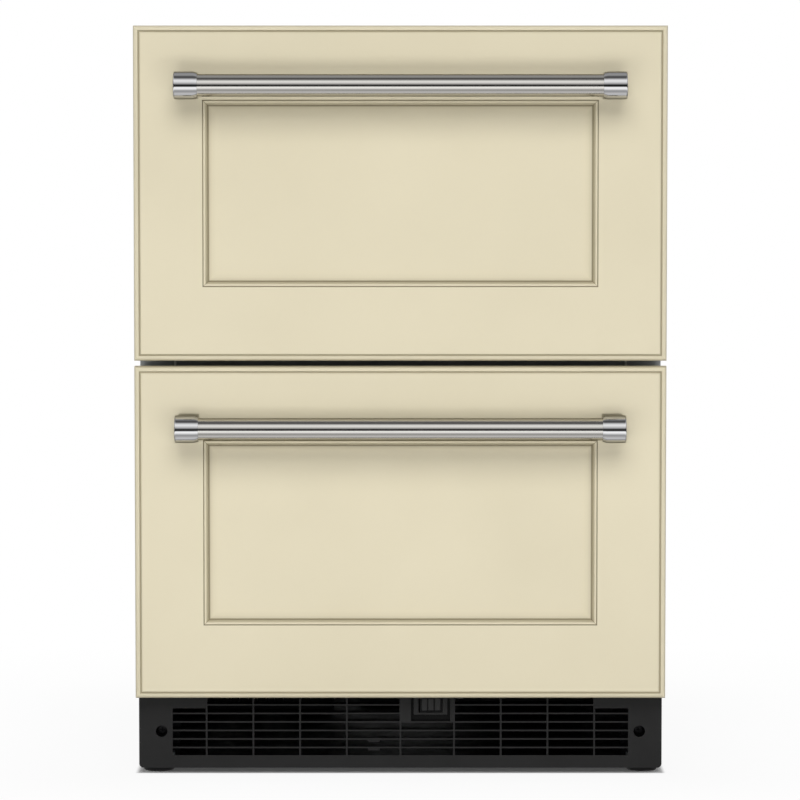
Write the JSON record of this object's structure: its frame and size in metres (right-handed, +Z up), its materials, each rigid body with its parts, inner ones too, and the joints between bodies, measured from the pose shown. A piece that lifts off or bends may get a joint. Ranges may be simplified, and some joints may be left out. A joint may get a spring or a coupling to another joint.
{
  "type": "undercounter drawer refrigerator",
  "caption": "Undercounter drawer refrigerator with moulded panel fronts, round bar handles and a louvred toe grille.",
  "frame": {"origin": "middle of the footprint on the floor, half way from the handles' front to the machine cover's back", "axes": "+Z up, +X to the right of a person facing the drawers, -Y out of the drawer fronts"},
  "size_m": [0.605, 0.6632, 0.855],
  "materials": {
    "painted_front": "satin",
    "satin_bar": "satin",
    "polished_end": "polished",
    "zinc_screw": "satin",
    "grey_steel": "satin",
    "foam": "matte",
    "white_liner": "satin",
    "gasket_vinyl": "matte",
    "zinc_slide": "satin",
    "galvanised_steel": "satin",
    "black_plastic": "matte",
    "grille_plastic": "satin",
    "switch_plastic": "satin",
    "finned_aluminium": "satin",
    "motor_steel": "satin",
    "black_enamel": "gloss",
    "black_rubber": "matte",
    "copper": "satin",
    "light_diffuser": "satin",
    "black_screw": "satin",
    "foot_plastic": "matte"
  },
  "bodies": {
    "cabinet": {"upper_slide_cabinet_members": "zinc_slide", "lower_slide_cabinet_members": "zinc_slide", "cabinet_wrapper": "grey_steel", "cabinet_floor": "grey_steel", "cabinet_back": "galvanised_steel", "foam_insulation": "foam", "cabinet_liner": "white_liner", "center_mullion": "grey_steel", "base_pan": "galvanised_steel", "leg_nut_plates": "galvanised_steel", "mounting_brackets": "galvanised_steel", "rear_machine_cover": "galvanised_steel", "power_inlet": "black_plastic", "evaporator": "finned_aluminium", "evaporator_cover": "white_liner", "evaporator_fan_motor": "motor_steel", "compressor": "black_enamel", "compressor_grommets": "black_rubber", "start_relay_box": "black_plastic", "condenser_coil": "black_enamel", "condenser_fan_motor": "motor_steel", "condenser_shroud": "black_plastic", "refrigerant_lines": "copper", "drain_pan": "black_plastic", "control_module": "black_plastic", "light_bar": "light_diffuser", "front_grille": "grille_plastic", "grille_screws": "black_screw", "switch_bezel": "switch_plastic"},
    "upper_drawer": {"upper_panel_frame": "painted_front", "upper_panel_field": "painted_front", "upper_handle_bar": "satin_bar", "upper_handle_ends": "polished_end", "upper_handle_screws": "zinc_screw", "upper_door_shell": "grey_steel", "upper_door_foam": "foam", "upper_door_liner": "white_liner", "upper_door_gasket": "gasket_vinyl", "upper_drawer_bin": "white_liner", "upper_slide_drawer_members": "zinc_slide"},
    "lower_drawer": {"lower_panel_frame": "painted_front", "lower_panel_field": "painted_front", "lower_handle_bar": "satin_bar", "lower_handle_ends": "polished_end", "lower_handle_screws": "zinc_screw", "lower_door_shell": "grey_steel", "lower_door_foam": "foam", "lower_door_liner": "white_liner", "lower_door_gasket": "gasket_vinyl", "lower_drawer_bin": "white_liner", "lower_slide_drawer_members": "zinc_slide"},
    "upper_middle_slides": {"upper_slide_middle_members": "zinc_slide"},
    "lower_middle_slides": {"lower_slide_middle_members": "zinc_slide"},
    "power_switch": {"switch_rocker": "switch_plastic"},
    "condenser_blade": {"condenser_fan": "black_plastic"},
    "evaporator_blade": {"evaporator_fan": "white_liner"},
    "front_left_leg": {"leg_front_left": "foot_plastic"},
    "front_right_leg": {"leg_front_right": "foot_plastic"},
    "rear_left_leg": {"leg_rear_left": "foot_plastic"},
    "rear_right_leg": {"leg_rear_right": "foot_plastic"}
  },
  "joints": [
    {"name": "upper_drawer_slide", "type": "slide", "parent": "cabinet", "child": "upper_drawer", "axis": [0, -1, 0], "range_m": [0, 0.4]},
    {"name": "lower_drawer_slide", "type": "slide", "parent": "cabinet", "child": "lower_drawer", "axis": [0, -1, 0], "range_m": [0, 0.4]},
    {"name": "upper_middle_slide", "type": "slide", "parent": "cabinet", "child": "upper_middle_slides", "axis": [0, -1, 0], "range_m": [0, 0.2]},
    {"name": "lower_middle_slide", "type": "slide", "parent": "cabinet", "child": "lower_middle_slides", "axis": [0, -1, 0], "range_m": [0, 0.2]},
    {"name": "switch_rock", "type": "hinge", "parent": "cabinet", "child": "power_switch", "pos_m": [0.03465, -0.24065, 0.0775], "axis": [0, 0, 1], "range_deg": [-12, 0]},
    {"name": "condenser_fan_spin", "type": "hinge", "parent": "cabinet", "child": "condenser_blade", "pos_m": [-0.18, 0.19365, 0.101], "axis": [0, 1, 0], "continuous": true},
    {"name": "evaporator_fan_spin", "type": "hinge", "parent": "cabinet", "child": "evaporator_blade", "pos_m": [0, 0.25415, 0.7274], "axis": [0, 1, 0], "continuous": true},
    {"name": "front_left_leg_travel", "type": "slide", "parent": "cabinet", "child": "front_left_leg", "axis": [0, 0, -1], "range_m": [0, 0.012]},
    {"name": "front_right_leg_travel", "type": "slide", "parent": "cabinet", "child": "front_right_leg", "axis": [0, 0, -1], "range_m": [0, 0.012]},
    {"name": "rear_left_leg_travel", "type": "slide", "parent": "cabinet", "child": "rear_left_leg", "axis": [0, 0, -1], "range_m": [0, 0.012]},
    {"name": "rear_right_leg_travel", "type": "slide", "parent": "cabinet", "child": "rear_right_leg", "axis": [0, 0, -1], "range_m": [0, 0.012]}
  ],
  "couplings": [
    {"joint": "upper_middle_slide", "follows": "upper_drawer_slide", "ratio": 0.5},
    {"joint": "lower_middle_slide", "follows": "lower_drawer_slide", "ratio": 0.5}
  ]
}
